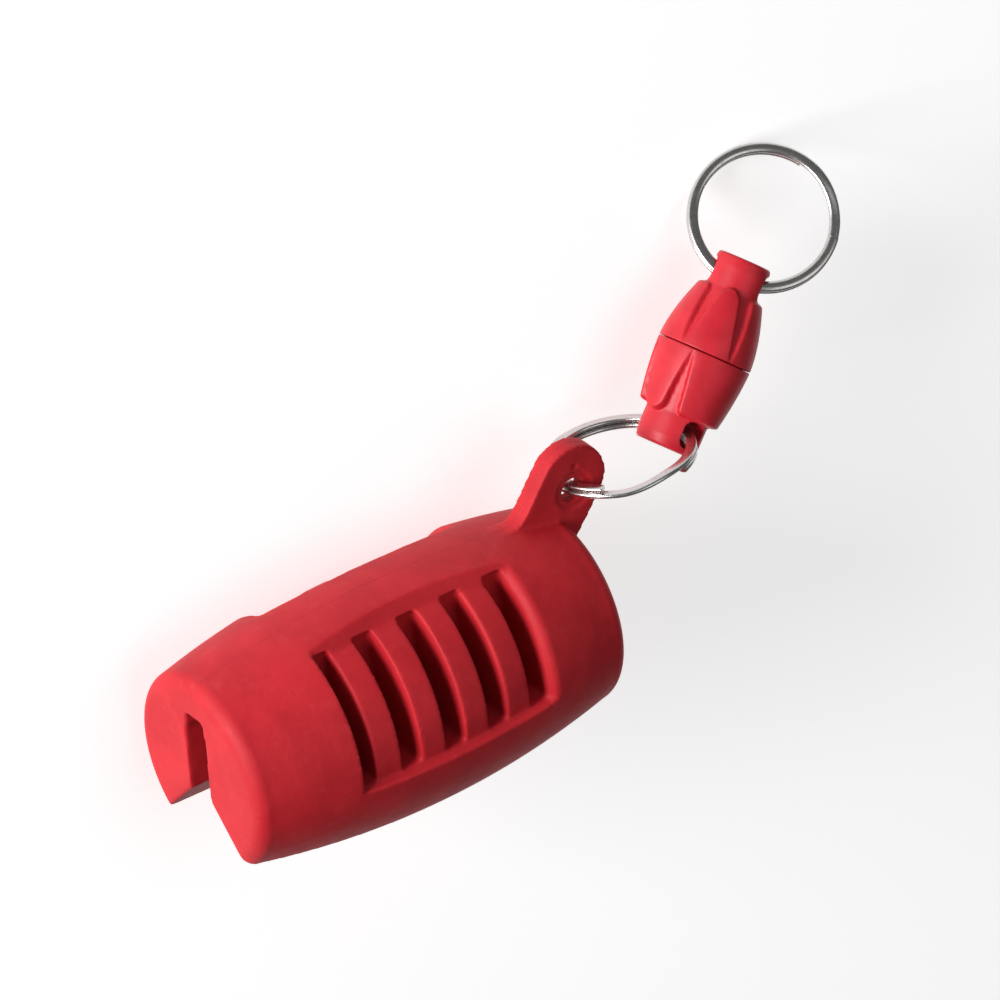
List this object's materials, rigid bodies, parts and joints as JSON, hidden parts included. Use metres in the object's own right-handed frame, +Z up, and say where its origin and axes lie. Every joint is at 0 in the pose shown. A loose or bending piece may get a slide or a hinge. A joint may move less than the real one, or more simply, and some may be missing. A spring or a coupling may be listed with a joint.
{
  "type": "arrow puller with pull-apart key ring coupling",
  "caption": "Barrel-shaped rubber arrow puller with a full-length arrow slot, ribbed finger windows and a lug, on split rings and a magnetic pull-apart coupling.",
  "frame": {"origin": "middle of the bounding box's base", "axes": "+X along the barrel from the lug's end to the front face, +Y out of the arrow slot's mouth, +Z up through the upper finger window"},
  "size_m": [0.151, 0.079, 0.0454],
  "materials": {
    "moulded_rubber": "matt moulded rubber",
    "moulded_plastic": "satin moulded plastic",
    "nickel_plate": "polished nickel on spring steel",
    "zinc_plate": "zinc-plated steel",
    "magnet_plate": "nickel-plated magnet"
  },
  "bodies": {
    "grip": {"grip_body": "moulded_rubber"},
    "lug_ring": {"lug_ring": "nickel_plate"},
    "lower_half": {"lower_shell": "moulded_plastic", "lower_cup": "zinc_plate", "lower_magnet": "magnet_plate"},
    "pull_plate": {"upper_cup": "zinc_plate", "upper_magnet": "magnet_plate"},
    "upper_half": {"upper_shell": "moulded_plastic"},
    "key_ring": {"key_ring": "nickel_plate"}
  },
  "joints": [
    {"name": "lug_swing", "type": "hinge", "parent": "grip", "child": "lug_ring", "pos_m": [-0.00747, -0.00125, 0.02269], "axis": [0, 0, 1], "range_deg": [-60, 95]},
    {"name": "lower_neck_swing", "type": "hinge", "parent": "lug_ring", "child": "lower_half", "pos_m": [-0.03284, -0.00091, 0.01992], "axis": [-0.0904, -0.1153, 0.9892], "range_deg": [-100, 40]},
    {"name": "pull_apart", "type": "slide", "parent": "lower_half", "child": "pull_plate", "axis": [-0.6696, -0.7282, -0.1461], "range_m": [0, 0.02], "stiffness_N_per_m": 200, "springref_m": -0.02},
    {"name": "swivel", "type": "hinge", "parent": "pull_plate", "child": "upper_half", "pos_m": [-0.04265, -0.01157, 0.01778], "axis": [-0.6696, -0.7282, -0.1461], "continuous": true},
    {"name": "upper_neck_swing", "type": "hinge", "parent": "upper_half", "child": "key_ring", "pos_m": [-0.05246, -0.02224, 0.01564], "axis": [-0.5876, 0.3991, 0.7039], "range_deg": [-75, 75]}
  ]
}
